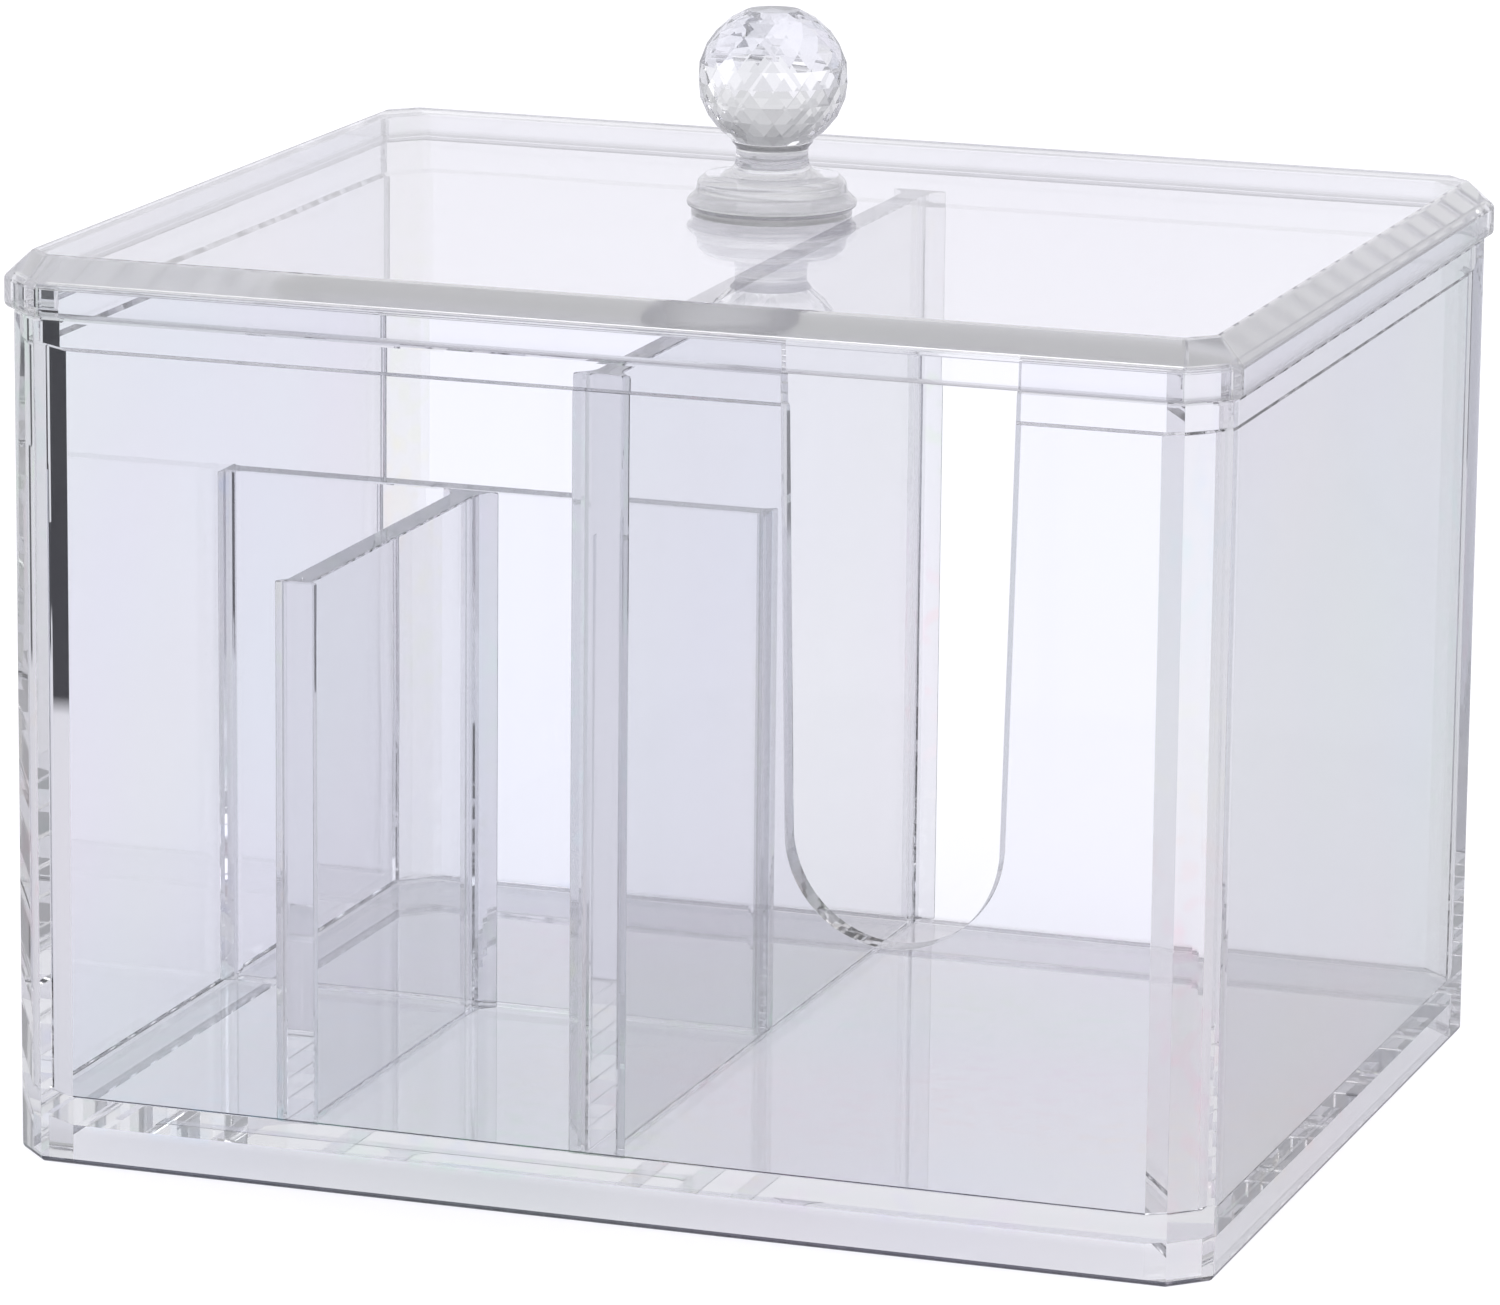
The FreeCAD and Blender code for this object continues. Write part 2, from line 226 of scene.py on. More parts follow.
def work_out(tree, operation, *values):
    """One step of arithmetic."""
    step = tree.nodes.new("ShaderNodeMath")
    step.operation = operation
    for value, socket in zip(values, step.inputs):
        feed(tree, value, socket)
    return step.outputs[0]


def ramp(tree, value, low, high):
    """A mask that rises from 0 to 1 between two values."""
    step = tree.nodes.new("ShaderNodeMapRange")
    step.inputs["From Min"].default_value = low
    step.inputs["From Max"].default_value = high
    tree.links.new(value, step.inputs["Value"])
    return step.outputs["Result"]


def blend(tree, factor, one, other, way="MIX"):
    """One colour laid over another as far as a mask says."""
    mix = tree.nodes.new("ShaderNodeMix")
    mix.data_type = "RGBA"
    mix.blend_type = way
    feed(tree, factor, mix.inputs["Factor"])
    feed(tree, one, mix.inputs["A"])
    feed(tree, other, mix.inputs["B"])
    return mix.outputs["Result"]


def make_polish_and_painted_shade_group():
    """The acrylic's tint with painted light laid over it: a painted shade for each way
    that a face looks, a painted shadow on the foot band below the floor, painted dark
    glints that differ from one cut facet to the next, faint pastel colours painted as an
    iridescent sheen, and painted rainbow glints along the edges. What the surface really
    has is wipe marks that show as haze, softer slanting edges, and the slow waves of the
    sheet."""
    left_to_right = (-0.07, 0.07)
    under_to_upper = (-0.1, 0.1)
    square_on = (0.6, 0.95)
    upper_slant = 0.3
    under_slant = 0.03
    upright_slant = 0.3
    slant_start = 1 / 15
    foot_end = (0.0036, 0.0044)
    floor_end = (0.0076, 0.0068)
    # Size and range of the painted dark glints that each cut facet gets.
    facet_scale = 6
    facet_shade_range = (0.1, 0.4)
    stress_scale = 22
    # Size and colour of the painted rainbow glints.
    glint_scale = 420
    glint_spots = (0.56, 0.7)
    glint_saturation = 2.5
    glint_brightness = 1.7
    wipe_scale = 60
    wipe_marks = (0.45, 0.8)
    wave_scale = 28
    wave_height = 0.0004

    polish = bpy.data.node_groups.new("acrylic_polish_and_painted_shade", "ShaderNodeTree")
    # The acrylic's tint (Cast) and the painted shades laid over it, one for each way that
    # a face looks.
    tints_and_painted_shades = ("Cast", "Left Painted Shade", "Right Painted Shade", "Corner Painted Shade", "Level Painted Shade",
             "Slope Painted Shade", "Under Painted Shade", "Foot Painted Shade")
    strengths = ("Painted Facet Shade", "Painted Glints", "Stress Sheen", "Haze", "Slope Haze", "Waves")
    for names, way, kind in (
        (tints_and_painted_shades, "INPUT", "NodeSocketColor"),
        (strengths, "INPUT", "NodeSocketFloat"),
        (("Color",), "OUTPUT", "NodeSocketColor"),
        (("Roughness",), "OUTPUT", "NodeSocketFloat"),
        (("Normal",), "OUTPUT", "NodeSocketVector"),
    ):
        for name in names:
            polish.interface.new_socket(name, in_out=way, socket_type=kind)
    given = polish.nodes.new("NodeGroupInput").outputs
    made = polish.nodes.new("NodeGroupOutput").inputs
    links = polish.links
    place = polish.nodes.new("ShaderNodeTexCoord")
    spot = polish.nodes.new("ShaderNodeSeparateXYZ")
    facing = polish.nodes.new("ShaderNodeSeparateXYZ")
    links.new(place.outputs["Object"], spot.inputs[0])
    links.new(place.outputs["Normal"], facing.inputs[0])

    def squared(value):
        return work_out(polish, "MULTIPLY", value, value)

    def slant(value, full):
        folded = work_out(polish, "PINGPONG", value, 0.5)
        return ramp(polish, folded, full * slant_start, full)

    def noise(scale, detail):
        pattern = polish.nodes.new("ShaderNodeTexNoise")
        pattern.inputs["Scale"].default_value = scale
        pattern.inputs["Detail"].default_value = detail
        links.new(place.outputs["Object"], pattern.inputs["Vector"])
        return pattern.outputs

    sideways = squared(facing.outputs["X"])
    level = squared(facing.outputs["Z"])
    upward = ramp(polish, facing.outputs["Z"], *under_to_upper)
    slanting = blend(polish, upward, slant(level, under_slant), slant(level, upper_slant))
    upright_edge = slant(sideways, upright_slant)
    # Painted shade: faces that look sideways are painted darker on the right than on the
    # left, and upright edges greyer.
    rightward = ramp(polish, spot.outputs["X"], *left_to_right)
    side_painted_shade = blend(polish, rightward, given["Left Painted Shade"], given["Right Painted Shade"])
    colour = blend(polish, ramp(polish, sideways, *square_on), given["Cast"], side_painted_shade)
    colour = blend(polish, upright_edge, colour, given["Corner Painted Shade"])
    # Painted shade on level faces, and a painted shadow on everything below the top of
    # the foot.
    level_face = ramp(polish, level, *square_on)
    colour = blend(polish, level_face, colour, given["Level Painted Shade"])
    above_foot = ramp(polish, spot.outputs["Z"], *foot_end)
    colour = blend(polish, above_foot, given["Foot Painted Shade"], colour)
    # Painted shade on slanting faces, with its own colour where they slant downwards; on
    # the tub that one is near-black, a painted contact shadow.
    slope_painted_shade = blend(polish, upward, given["Under Painted Shade"], given["Slope Painted Shade"])
    colour = blend(polish, slanting, colour, slope_painted_shade)

    # Painted dark glints: every cut facet takes a random darker tone of its own.
    cells = polish.nodes.new("ShaderNodeTexVoronoi")
    cells.inputs["Scale"].default_value = facet_scale
    links.new(place.outputs["Normal"], cells.inputs["Vector"])
    tone = polish.nodes.new("ShaderNodeRGBToBW")
    links.new(cells.outputs["Color"], tone.inputs[0])
    painted_facet_shade = ramp(polish, tone.outputs[0], *facet_shade_range)
    colour = blend(polish, given["Painted Facet Shade"], colour, painted_facet_shade, "MULTIPLY")

    # Faint pastel noise laid over the colour: a painted iridescent sheen.
    stress = noise(stress_scale, 1)["Color"]
    colour = blend(polish, given["Stress Sheen"], colour, stress, "SOFT_LIGHT")
    # Painted rainbow glints: hue-shifted noise in small spots along upright edges and the
    # floor band.
    rainbow = polish.nodes.new("ShaderNodeHueSaturation")
    rainbow.inputs["Saturation"].default_value = glint_saturation
    rainbow.inputs["Value"].default_value = glint_brightness
    links.new(stress, rainbow.inputs["Color"])
    below_floor = ramp(polish, spot.outputs["Z"], *floor_end)
    floor_edge = work_out(polish, "MULTIPLY", above_foot, below_floor)
    edge = work_out(polish, "MAXIMUM", upright_edge, floor_edge)
    spots = ramp(polish, noise(glint_scale, 0)["Fac"], *glint_spots)
    on_edges = work_out(polish, "MULTIPLY", edge, spots)
    glints = work_out(polish, "MULTIPLY", on_edges, given["Painted Glints"])
    colour = blend(polish, glints, colour, rainbow.outputs["Color"])
    links.new(colour, made["Color"])

    wiped = ramp(polish, noise(wipe_scale, 4)["Fac"], *wipe_marks)
    haze = work_out(polish, "MULTIPLY", wiped, given["Haze"])
    roughness = work_out(polish, "MULTIPLY_ADD", slanting, given["Slope Haze"], haze)
    links.new(roughness, made["Roughness"])

    waves = polish.nodes.new("ShaderNodeBump")
    waves.inputs["Distance"].default_value = wave_height
    links.new(given["Waves"], waves.inputs["Strength"])
    links.new(noise(wave_scale, 1)["Fac"], waves.inputs["Height"])
    links.new(waves.outputs["Normal"], made["Normal"])
    return polish


ACRYLIC_IOR = 1.49
SHADOW_TINT = (0.94, 0.94, 0.945, 1)
DEPTH_TINT = (0.2, 0.2, 0.22, 1)
# One node group holds the acrylic's tint, its painted shade and painted glints, its haze
# and its waves.
acrylic_polish_and_painted_shade = make_polish_and_painted_shade_group()


def clear_acrylic(name, clearness, density, finish_and_painted_shade):
    """Clear acrylic with its tint, painted shade and painted glints given, darker the
    longer light's way through it is.
    """
    material = bpy.data.materials.new(name)
    material.use_nodes = True
    tree = material.node_tree
    nodes = tree.nodes
    links = tree.links
    nodes.clear()
    output = nodes.new("ShaderNodeOutputMaterial")
    surface = nodes.new("ShaderNodeBsdfPrincipled")
    surface.inputs["Transmission Weight"].default_value = clearness
    surface.inputs["IOR"].default_value = ACRYLIC_IOR
    # The group paints shade and glints into the colour, besides the surface's haze and
    # waves.
    polish = nodes.new("ShaderNodeGroup")
    polish.node_tree = acrylic_polish_and_painted_shade
    for socket, value in finish_and_painted_shade.items():
        polish.inputs[socket].default_value = value
    links.new(polish.outputs["Color"], surface.inputs["Base Color"])
    links.new(polish.outputs["Roughness"], surface.inputs["Roughness"])
    links.new(polish.outputs["Normal"], surface.inputs["Normal"])

    path = nodes.new("ShaderNodeLightPath").outputs
    lighting = work_out(tree, "MAXIMUM", path["Is Shadow Ray"], path["Is Diffuse Ray"])
    passing = nodes.new("ShaderNodeBsdfTransparent")
    passing.inputs["Color"].default_value = SHADOW_TINT
    seen = nodes.new("ShaderNodeMixShader")
    links.new(lighting, seen.inputs["Fac"])
    links.new(surface.outputs["BSDF"], seen.inputs[1])
    links.new(passing.outputs["BSDF"], seen.inputs[2])
    links.new(seen.outputs["Shader"], output.inputs["Surface"])
    depth = nodes.new("ShaderNodeVolumeAbsorption")
    depth.inputs["Color"].default_value = DEPTH_TINT
    depth.inputs["Density"].default_value = density
    links.new(depth.outputs[0], output.inputs["Volume"])
    return material


tub.data.materials.clear()
# Painted shade: the right wall darker than the left, greyer edges and slopes, a darker
# band at the foot as a painted shadow, and a near-black lower rounding as a painted
# contact shadow; Glints are painted glints.
tub.data.materials.append(clear_acrylic("tub_acrylic", 1, 0.6, {
    "Cast": (0.93, 0.935, 0.965, 1),
    "Left Painted Shade": (0.785, 0.79, 0.825, 1),
    "Right Painted Shade": (0.775, 0.78, 0.8, 1),
    "Corner Painted Shade": (0.85, 0.85, 0.86, 1),
    "Level Painted Shade": (0.88, 0.885, 0.895, 1),
    "Slope Painted Shade": (0.7, 0.7, 0.71, 1),
    "Under Painted Shade": (0.03, 0.03, 0.04, 1),
    "Foot Painted Shade": (0.8, 0.8, 0.82, 1),
    "Painted Glints": 0.1,
    "Stress Sheen": 0.22,
    "Haze": 0.02,
    "Slope Haze": 0.05,
    "Waves": 0.05,
}))

# The dividers: three upright acrylic plates, a tall one across the box and two lower ones
# on its left. Their ends widen to the faces that they are bonded to, where the adhesive
# has run into a small fillet.
DIVIDER = 0.003
MAIN_TOP = 0.092
LOW_TOP = 0.067
MAIN_FLARE = 0.0018
LOW_FLARE = 0.001
SWAB_REAR_FLARE = 0.0019
FLARE_SOFTNESS = 0.7
SWAB_X = -0.03452
BOND = 0.00003
DIVIDER_POLISH = 0.0002
BOX_FRONT = -INNER_DEPTH / 2 - BOND
BOX_BACK = INNER_DEPTH / 2 + BOND
BOX_LEFT = -INNER_WIDTH / 2 - BOND
PLATE_SIDE = -DIVIDER / 2 + BOND


def divider(name, along, middle_at, start, end, top, start_flare, end_flare):
    """A plate on the floor along X or Y whose two ends spread to what holds them."""
    across = 1 - along
    low = [0, 0, FLOOR_TOP - BOND]
    high = [0, 0, top]
    low[along], high[along] = start, end
    low[across], high[across] = middle_at - DIVIDER / 2, middle_at + DIVIDER / 2
    plate = block(name, low, high)
    ends = (
        (start, start + start_flare, start_flare),
        (end, end - end_flare, end_flare),
    )
    for _, crease, _ in ends:
        pick(plate, "FACE", lambda face: True)
        point = [0, 0, 0]
        normal = [0, 0, 0]
        point[along] = crease
        normal[along] = 1
        bpy.ops.mesh.bisect(plane_co=point, plane_no=normal)
        close(plate)
    for place, crease, flare in ends:
        pick(
            plate, "FACE",
            lambda face: abs(face.calc_center_median()[along] - place) < HAIR)
        spread = [1, 1, 1]
        spread[across] = 1 + 2 * flare / DIVIDER
        centre = [0, 0, 0]
        centre[along], centre[across] = place, middle_at
        bpy.ops.transform.resize(value=spread, center_override=centre)
        close(plate)
        round_edges(
            plate,
            lambda edge: runs_along(edge, 2) and abs(middle(edge)[along] - crease) < HAIR,
            flare * FLARE_SOFTNESS, ROUND_STEPS)
    polish_edges(plate, DIVIDER_POLISH)
    plate.data.materials.clear()
    return plate


main_divider_plate = divider(
    "main_divider_plate", 1, 0, BOX_FRONT, BOX_BACK, MAIN_TOP, MAIN_FLARE, MAIN_FLARE)
cross_divider_plate = divider(
    "cross_divider_plate", 0, 0, BOX_LEFT, PLATE_SIDE, LOW_TOP, LOW_FLARE, LOW_FLARE)
swab_divider_plate = divider(
    "swab_divider_plate", 1, SWAB_X, BOX_FRONT, PLATE_SIDE, LOW_TOP,
    LOW_FLARE, SWAB_REAR_FLARE)
# Painted shade: the dividers' right faces darker than their left ones, greyer ends and
# slopes; Glints are painted glints.
divider_acrylic = clear_acrylic("divider_acrylic", 1, 1, {
    "Cast": (0.985, 0.985, 1.0, 1),
    "Left Painted Shade": (1.0, 1.0, 1.0, 1),
    "Right Painted Shade": (0.64, 0.645, 0.67, 1),
    "Corner Painted Shade": (0.76, 0.76, 0.77, 1),
    "Level Painted Shade": (0.9, 0.9, 0.91, 1),
    "Slope Painted Shade": (0.8, 0.8, 0.81, 1),
    "Under Painted Shade": (0.8, 0.8, 0.81, 1),
    "Painted Glints": 0.2,
    "Stress Sheen": 0.12,
    "Haze": 0.02,
    "Slope Haze": 0.05,
    "Waves": 0.05,
})
for plate, node in (
    (main_divider_plate, "main_divider"),
    (cross_divider_plate, "cross_divider"),
    (swab_divider_plate, "swab_divider"),
):
    plate.data.materials.append(divider_acrylic)
    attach(plate, "box")
    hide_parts(node)

# The lid: a bevelled acrylic plate with a short skirt, moulded as a shallow cap.
# It sits loose on the tub's ledge, with its skirt round the neck.
LID_WIDTH = 0.138
LID_DEPTH = 0.114
LID_TOP = 0.1004
LID_CUT = 0.004586
LID_BEVEL = 0.00288
SKIRT = 0.0017
SKIRT_HEIGHT = 0.0032
SKIRT_ROUND = 0.00065
SEATING_GAP = 0.00006
LID_POLISH = 0.0003
SKIRT_BOTTOM = LEDGE_HEIGHT + SEATING_GAP

lid = cut_block("lid", LID_WIDTH, LID_DEPTH, SKIRT_BOTTOM, LID_TOP, LID_CUT)
round_edges(lid, lambda edge: lies_at(edge, LID_TOP), LID_BEVEL, 1)
round_edges(lid, lambda edge: lies_at(edge, SKIRT_BOTTOM), SKIRT_ROUND, ROUND_STEPS)
pick(lid, "FACE", lambda face: face.normal.z < -STRAIGHT)
bpy.ops.mesh.inset(thickness=SKIRT - SKIRT_ROUND)
pull_up(SKIRT_HEIGHT - SEATING_GAP)
close(lid)
polish_edges(lid, LID_POLISH)
lid.data.materials.clear()
# Painted shade: the lid's bevels and underside greyer than its plain tint, its sides a
# little darker on the right.
lid.data.materials.append(clear_acrylic("lid_acrylic", 1, 1, {
    "Cast": (0.985, 0.985, 0.995, 1),
    "Left Painted Shade": (0.97, 0.97, 0.985, 1),
    "Right Painted Shade": (0.96, 0.96, 0.98, 1),
    "Corner Painted Shade": (0.97, 0.97, 0.98, 1),
    "Level Painted Shade": (0.985, 0.975, 1.0, 1),
    "Slope Painted Shade": (0.85, 0.85, 0.86, 1),
    "Under Painted Shade": (0.75, 0.75, 0.76, 1),
    "Stress Sheen": 0.1,
    "Haze": 0.02,
    "Slope Haze": 0.12,
    "Waves": 0.05,
}))
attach(lid, "lid")
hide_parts("lid_cap")

# The knob's foot: a small turned acrylic piece, a stepped flange that draws in to a slim
# neck. It is bonded to the middle of the lid.
KNOB_BOTTOM = LID_TOP - BOND
FOOT_SIDES = 96
FOOT_RADIUS = 0.0089
FOOT_EDGE = 0.0008
FOOT_PROFILE = (
    (0.1015, 0.0094),
    (0.1020, 0.0094),
    (0.1030, 0.0084),
    (0.1041, 0.0082),
    (0.1048, 0.0074),
    (0.1048, 0.0060),
    (0.10495, 0.0053),
    (0.1053, 0.0046),
    (0.1059, 0.00415),
    (0.1068, 0.0040),
    (0.1079, 0.0040),
    (0.1086 + BOND, 0.00462),
)
FOOT_POLISH = 0.00015
TURNED_ANGLE = math.radians(35)

bpy.ops.object.select_all(action="DESELECT")
bpy.ops.mesh.primitive_cylinder_add(
    vertices=FOOT_SIDES, radius=FOOT_RADIUS, depth=FOOT_EDGE,
    location=(0, 0, KNOB_BOTTOM + FOOT_EDGE / 2))
knob_foot = bpy.context.object
knob_foot.name = "knob_foot"
bpy.ops.object.transform_apply(location=True, rotation=True, scale=True)
pick(knob_foot, "FACE", looks_up)
height, radius = KNOB_BOTTOM + FOOT_EDGE, FOOT_RADIUS
for next_height, next_radius in FOOT_PROFILE:
    pull_up(next_height - height)
    bpy.ops.transform.resize(
        value=(next_radius / radius, next_radius / radius, 1),
        center_override=(0, 0, next_height))
    height, radius = next_height, next_radius
close(knob_foot)
polish_edges(knob_foot, FOOT_POLISH)
bpy.ops.object.select_all(action="DESELECT")
knob_foot.select_set(True)
bpy.context.view_layer.objects.active = knob_foot
bpy.ops.object.shade_smooth_by_angle(angle=TURNED_ANGLE)
knob_foot.data.materials.clear()
# Painted shade: the foot's faces darker on the right and much darker under its steps; the
# plain grey is the foot's milky tone.
knob_foot.data.materials.append(clear_acrylic("knob_foot_acrylic", 0.9, 2, {
    "Cast": (0.84, 0.845, 0.845, 1),
    "Left Painted Shade": (0.82, 0.825, 0.83, 1),
    "Right Painted Shade": (0.78, 0.785, 0.79, 1),
    "Corner Painted Shade": (0.83, 0.835, 0.835, 1),
    "Level Painted Shade": (0.86, 0.865, 0.87, 1),
    "Slope Painted Shade": (0.86, 0.865, 0.865, 1),
    "Under Painted Shade": (0.35, 0.35, 0.36, 1),
    "Stress Sheen": 0.05,
    "Haze": 0.1,
    "Slope Haze": 0.05,
    "Waves": 0.02,
}))
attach(knob_foot, "lid")
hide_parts("knob_base")

# The knob's ball: a faceted acrylic bead, a little flattened, cut in rows of triangles.
# It is flat at the crown and at its seat, where it is bonded to the neck.
BALL_SIDES = 18
BALL_ROWS = 9
BALL_RADIUS = 0.0083
BALL_HALF_HEIGHT = 0.0081
BALL_MIDDLE = 0.11549
BALL_SEAT_ANGLE = math.radians(-58.3)
BALL_CROWN_ANGLE = math.radians(69.3)


def ball_angle(row):
    return BALL_SEAT_ANGLE + (BALL_CROWN_ANGLE - BALL_SEAT_ANGLE) * row / BALL_ROWS


bpy.ops.object.select_all(action="DESELECT")
bpy.ops.mesh.primitive_circle_add(
    vertices=BALL_SIDES, radius=BALL_RADIUS * math.cos(BALL_SEAT_ANGLE), fill_type="NGON",
    location=(0, 0, BALL_MIDDLE + BALL_HALF_HEIGHT * math.sin(BALL_SEAT_ANGLE)))
faceted_ball = bpy.context.object
faceted_ball.name = "faceted_ball"
bpy.ops.object.transform_apply(location=True, rotation=True, scale=True)
pick(faceted_ball, "FACE", lambda face: True)
ball_axis = (0, 0, BALL_MIDDLE)
for row in range(BALL_ROWS):
    here, there = ball_angle(row), ball_angle(row + 1)
    spread = math.cos(there) / math.cos(here)
    pull_up(BALL_HALF_HEIGHT * (math.sin(there) - math.sin(here)))
    bpy.ops.transform.resize(value=(spread, spread, 1), center_override=ball_axis)
    bpy.ops.transform.rotate(
        value=math.pi / BALL_SIDES, orient_axis="Z", center_override=ball_axis)
close(faceted_ball)
pick(faceted_ball, "FACE", lambda face: len(face.verts) == 4)
bpy.ops.mesh.quads_convert_to_tris(quad_method="SHORTEST_DIAGONAL")
bpy.ops.mesh.select_all(action="SELECT")
bpy.ops.mesh.normals_make_consistent(inside=False)
close(faceted_ball)
faceted_ball.data.materials.clear()
# Painted shade and painted glints: the facets darker on the right than on the left, the
# crown's facets near-black as painted dark glints, and each facet a painted tone of its
# own.
faceted_ball.data.materials.append(clear_acrylic("knob_ball_acrylic", 1, 2, {
    "Cast": (0.97, 0.97, 0.98, 1),
    "Left Painted Shade": (0.8, 0.81, 0.82, 1),
    "Right Painted Shade": (0.72, 0.73, 0.74, 1),
    "Corner Painted Shade": (0.92, 0.92, 0.94, 1),
    "Level Painted Shade": (0.35, 0.36, 0.37, 1),
    "Slope Painted Shade": (0.9, 0.91, 0.92, 1),
    "Under Painted Shade": (0.97, 0.97, 0.98, 1),
    "Painted Facet Shade": 0.45,
    "Stress Sheen": 0.15,
    "Haze": 0.05,
    "Slope Haze": 0.0,
    "Waves": 0.0,
}))
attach(faceted_ball, "lid")
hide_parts("knob_ball")

# The floor: a wide sheet of pale paper under the box. What the acrylic mirrors of it is
# painted greyer than what is seen straight, a painted reflection, and mirrored within the
# acrylic it shows a nearly black patch on the left, a painted dark reflection.
PAPER = (0.93, 0.93, 0.93, 1)
PAPER_ROUGHNESS = 0.9
PAPER_MIRRORED_OUTSIDE = (0.45, 0.45, 0.46, 1)
PAPER_MIRRORED_INSIDE = (0.69, 0.69, 0.7, 1)
PAINTED_DARK_REFLECTION = (0.03, 0.03, 0.035, 1)
DARK_PATCH_EDGE = (-0.265, -0.255)
DARK_PATCH_MIDDLE = 0.09
DARK_PATCH_HALF_WIDTH = 0.09
PAPER_SIZE = 40
PAPER_DROP = 0.0001

bpy.ops.object.select_all(action="DESELECT")
bpy.ops.mesh.primitive_plane_add(size=PAPER_SIZE, location=(0, 0, -PAPER_DROP))
ground = bpy.context.object
ground.name = "ground"
paper = bpy.data.materials.new("pale_paper")
paper.use_nodes = True
sheet = paper.node_tree
sheet_surface = sheet.nodes["Principled BSDF"]
sheet_surface.inputs["Roughness"].default_value = PAPER_ROUGHNESS
sheet_surface.inputs["Specular IOR Level"].default_value = 0


def light_that(tree, *bounces):
    """1 for light on its way to the eye that has made each of these bounces, and has not
    yet lit the floor."""
    path = tree.nodes.new("ShaderNodeLightPath").outputs
    fewest = path[bounces[0]]
    for bounce in bounces[1:]:
        fewest = work_out(tree, "MINIMUM", fewest, path[bounce])
    unlit = work_out(tree, "MULTIPLY_ADD", path["Diffuse Depth"], -99, fewest)
    return work_out(tree, "GREATER_THAN", unlit, 0.5)


floor_place = sheet.nodes.new("ShaderNodeTexCoord")
floor_spot = sheet.nodes.new("ShaderNodeSeparateXYZ")
sheet.links.new(floor_place.outputs["Object"], floor_spot.inputs[0])
# A nearly black patch left of the box, seen only mirrored within the acrylic: a painted
# dark reflection.
right_of_dark_patch = ramp(sheet, floor_spot.outputs["X"], *DARK_PATCH_EDGE)
along_dark_patch = work_out(
    sheet, "COMPARE", floor_spot.outputs["Y"], DARK_PATCH_MIDDLE, DARK_PATCH_HALF_WIDTH)
off_dark_patch = work_out(sheet, "SUBTRACT", 1, along_dark_patch)
pale = work_out(sheet, "MAXIMUM", right_of_dark_patch, off_dark_patch)
inside = blend(sheet, pale, PAINTED_DARK_REFLECTION, PAPER_MIRRORED_INSIDE)
# What the acrylic mirrors of the paper from outside is painted darker grey: a painted
# reflection.
outside = blend(sheet, light_that(sheet, "Glossy Depth"), PAPER, PAPER_MIRRORED_OUTSIDE)
mirrored_inside = light_that(sheet, "Transmission Depth", "Glossy Depth")
paper_colour = blend(sheet, mirrored_inside, outside, inside)
sheet.links.new(paper_colour, sheet_surface.inputs["Base Color"])
ground.data.materials.append(paper)

# The studio: pale walls all round, with a wide softbox above and a small one in front on
# the right. Seen through the acrylic the room is painted greyer overhead, and mirrored
# within it greyer low down and darker towards the front: painted shade and a painted
# reflection.
WALLS = (0.93, 0.925, 0.975, 1)
WALLS_THROUGH = (0.9, 0.9, 0.92, 1)
CEILING_THROUGH = (0.45, 0.45, 0.47, 1)
CEILING_RISE = (0.05, 0.55)
WALLS_MIRRORED_LOW = (0.6, 0.6, 0.61, 1)
WALLS_MIRRORED_HIGH = (0.9, 0.9, 0.92, 1)
WALLS_MIRRORED_RISE = (0.19, 0.27)
FRONT_MIRRORED = (0.48, 0.48, 0.5, 1)
FRONT_END = (-0.4, -0.2)

world = bpy.data.worlds.new("studio")
bpy.context.scene.world = world
world.use_nodes = True
room = world.node_tree
room.nodes.clear()
room_output = room.nodes.new("ShaderNodeOutputWorld")
glow = room.nodes.new("ShaderNodeBackground")
room.links.new(glow.outputs[0], room_output.inputs[0])
direction = room.nodes.new("ShaderNodeTexCoord")
heading = room.nodes.new("ShaderNodeSeparateXYZ")
room.links.new(direction.outputs["Generated"], heading.inputs[0])


def wall_tones(rise, low_tone, high_tone):
    """Tones that change from one to another with the height that a ray heads for."""
    tones = room.nodes.new("ShaderNodeValToRGB")
    low, high = tones.color_ramp.elements
    low.position, high.position = rise
    low.color, high.color = low_tone, high_tone
    room.links.new(heading.outputs["Z"], tones.inputs["Fac"])
    return tones.outputs["Color"]


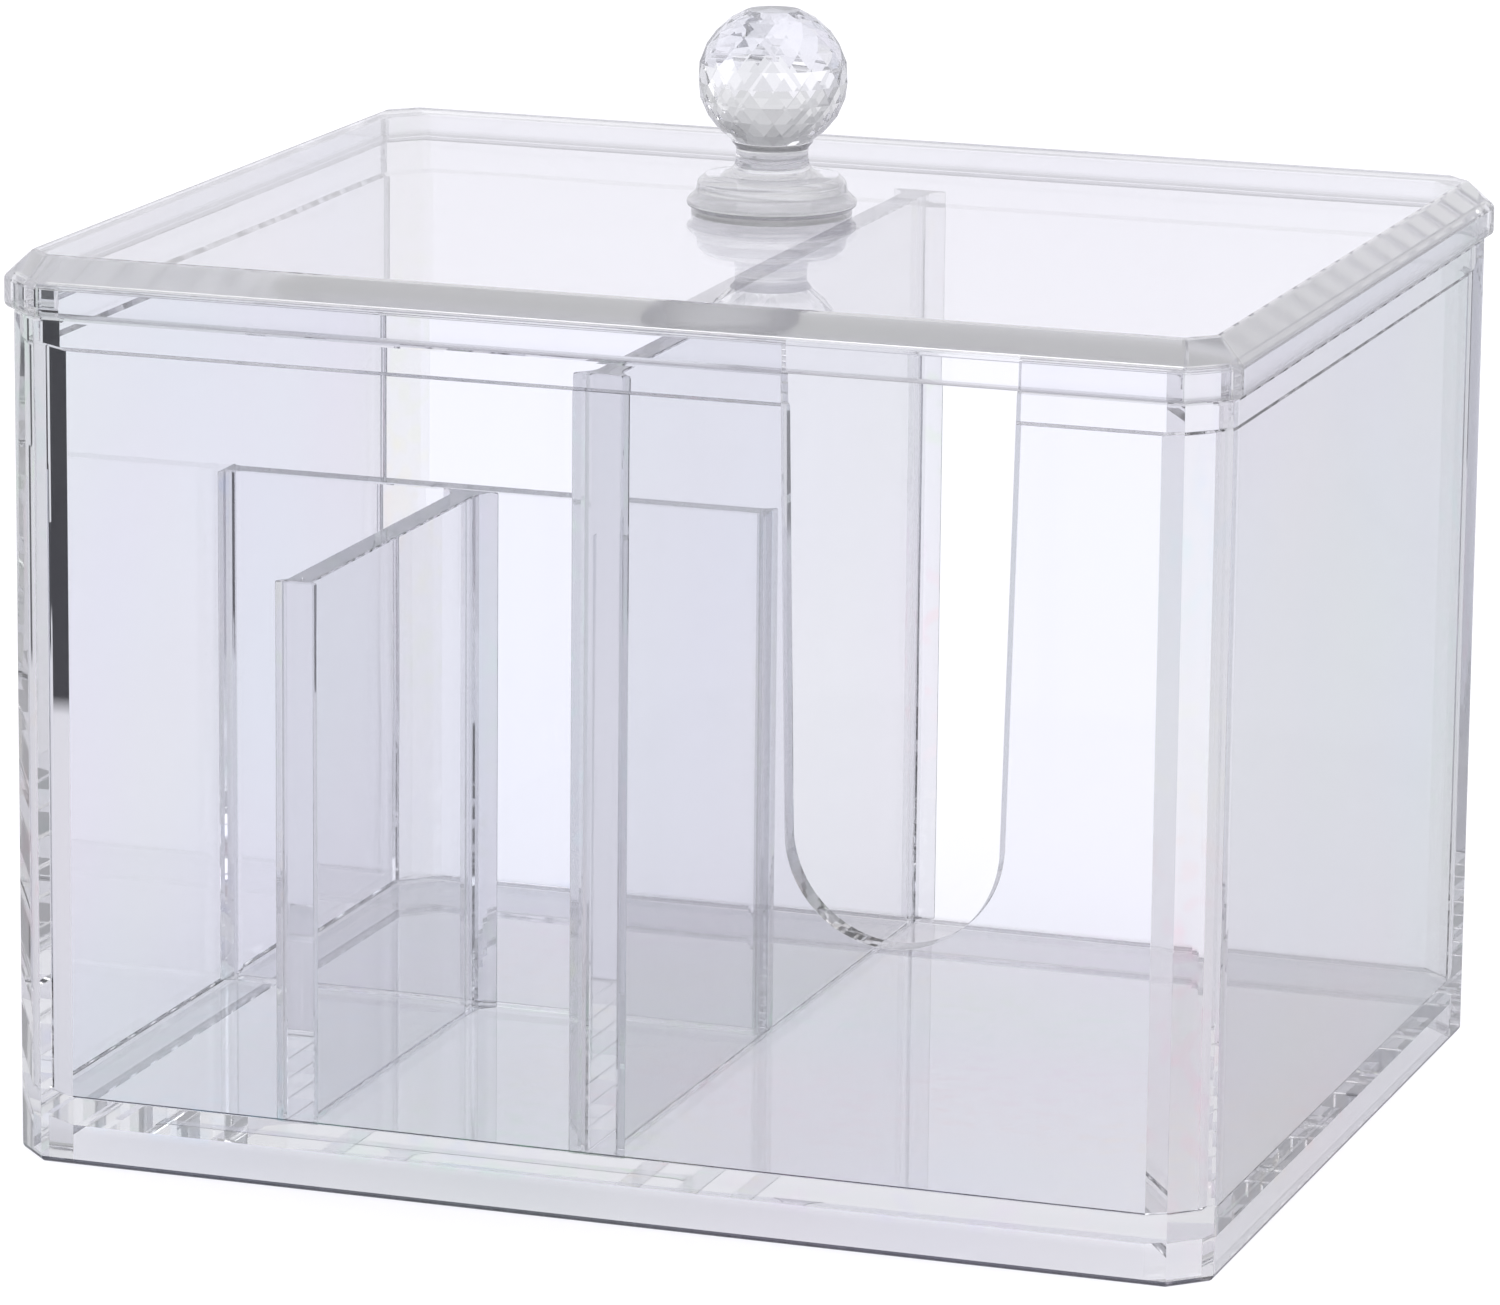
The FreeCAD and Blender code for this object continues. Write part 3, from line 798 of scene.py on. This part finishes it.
# Painted shade and a painted reflection: the room's tones seen through or mirrored within
# the acrylic.
through = wall_tones(CEILING_RISE, WALLS_THROUGH, CEILING_THROUGH)
walls_mirrored = wall_tones(WALLS_MIRRORED_RISE, WALLS_MIRRORED_LOW, WALLS_MIRRORED_HIGH)
rearward = ramp(room, heading.outputs["Y"], *FRONT_END)
mirrored = blend(room, rearward, FRONT_MIRRORED, walls_mirrored)
straight = blend(room, light_that(room, "Transmission Depth"), WALLS, through)
mirrored_light = light_that(room, "Transmission Depth", "Glossy Depth")
studio_walls = blend(room, mirrored_light, straight, mirrored)
room.links.new(studio_walls, glow.inputs["Color"])
glow.inputs["Strength"].default_value = 1.0
world.cycles.sampling_method = "NONE"


def softbox(name, place, aim, width, depth, power):
    light = bpy.data.lights.new(name, "AREA")
    light.shape = "RECTANGLE"
    light.size = width
    light.size_y = depth
    light.energy = power
    lamp = bpy.data.objects.new(name, light)
    bpy.context.scene.collection.objects.link(lamp)
    lamp.location = place
    aim_line = Vector(aim) - Vector(place)
    lamp.rotation_euler = aim_line.to_track_quat("-Z", "Y").to_euler()
    return lamp


softbox("top_softbox", (0.1, 0.3, 2.0), (0, 0.3, 0), 2.4, 2.4, 16)
right_softbox = softbox("right_softbox", (1.3, -0.9, 0.8), (0, 0, 0.05), 0.7, 0.9, 4)
right_softbox.visible_glossy = False

# The camera: a long lens in front of the box, a little to its right and above its lid.
# Light may go through many clear walls on its way, so it is followed a long way.
IMAGE_WIDTH = 1500
FOCAL_LENGTH_PIXELS = 7982.04
SENSOR_WIDTH = 36
WAYS_THROUGH = 64
CLEAR_SHADOWS = 48

camera_data = bpy.data.cameras.new("camera")
camera_data.sensor_width = SENSOR_WIDTH
camera_data.lens = FOCAL_LENGTH_PIXELS * SENSOR_WIDTH / IMAGE_WIDTH
camera_data.clip_start = 0.01
camera = bpy.data.objects.new("camera", camera_data)
bpy.context.scene.collection.objects.link(camera)
right = Vector((0.94392835, 0.3300038, 0.00983702))
up = Vector((-0.0830698, 0.20856127, 0.97447504))
back = Vector((0.31952885, -0.92065177, 0.22428025))
camera.matrix_world = Matrix((
    (right.x, up.x, back.x, 0.28347),
    (right.y, up.y, back.y, -0.82254),
    (right.z, up.z, back.z, 0.25083),
    (0, 0, 0, 1)))
bpy.context.scene.camera = camera

scene = bpy.context.scene
scene.cycles.max_bounces = WAYS_THROUGH
scene.cycles.transmission_bounces = WAYS_THROUGH
scene.cycles.glossy_bounces = WAYS_THROUGH
scene.cycles.transparent_max_bounces = CLEAR_SHADOWS
scene.cycles.caustics_refractive = False
scene.cycles.caustics_reflective = False
scene.view_settings.view_transform = "Standard"
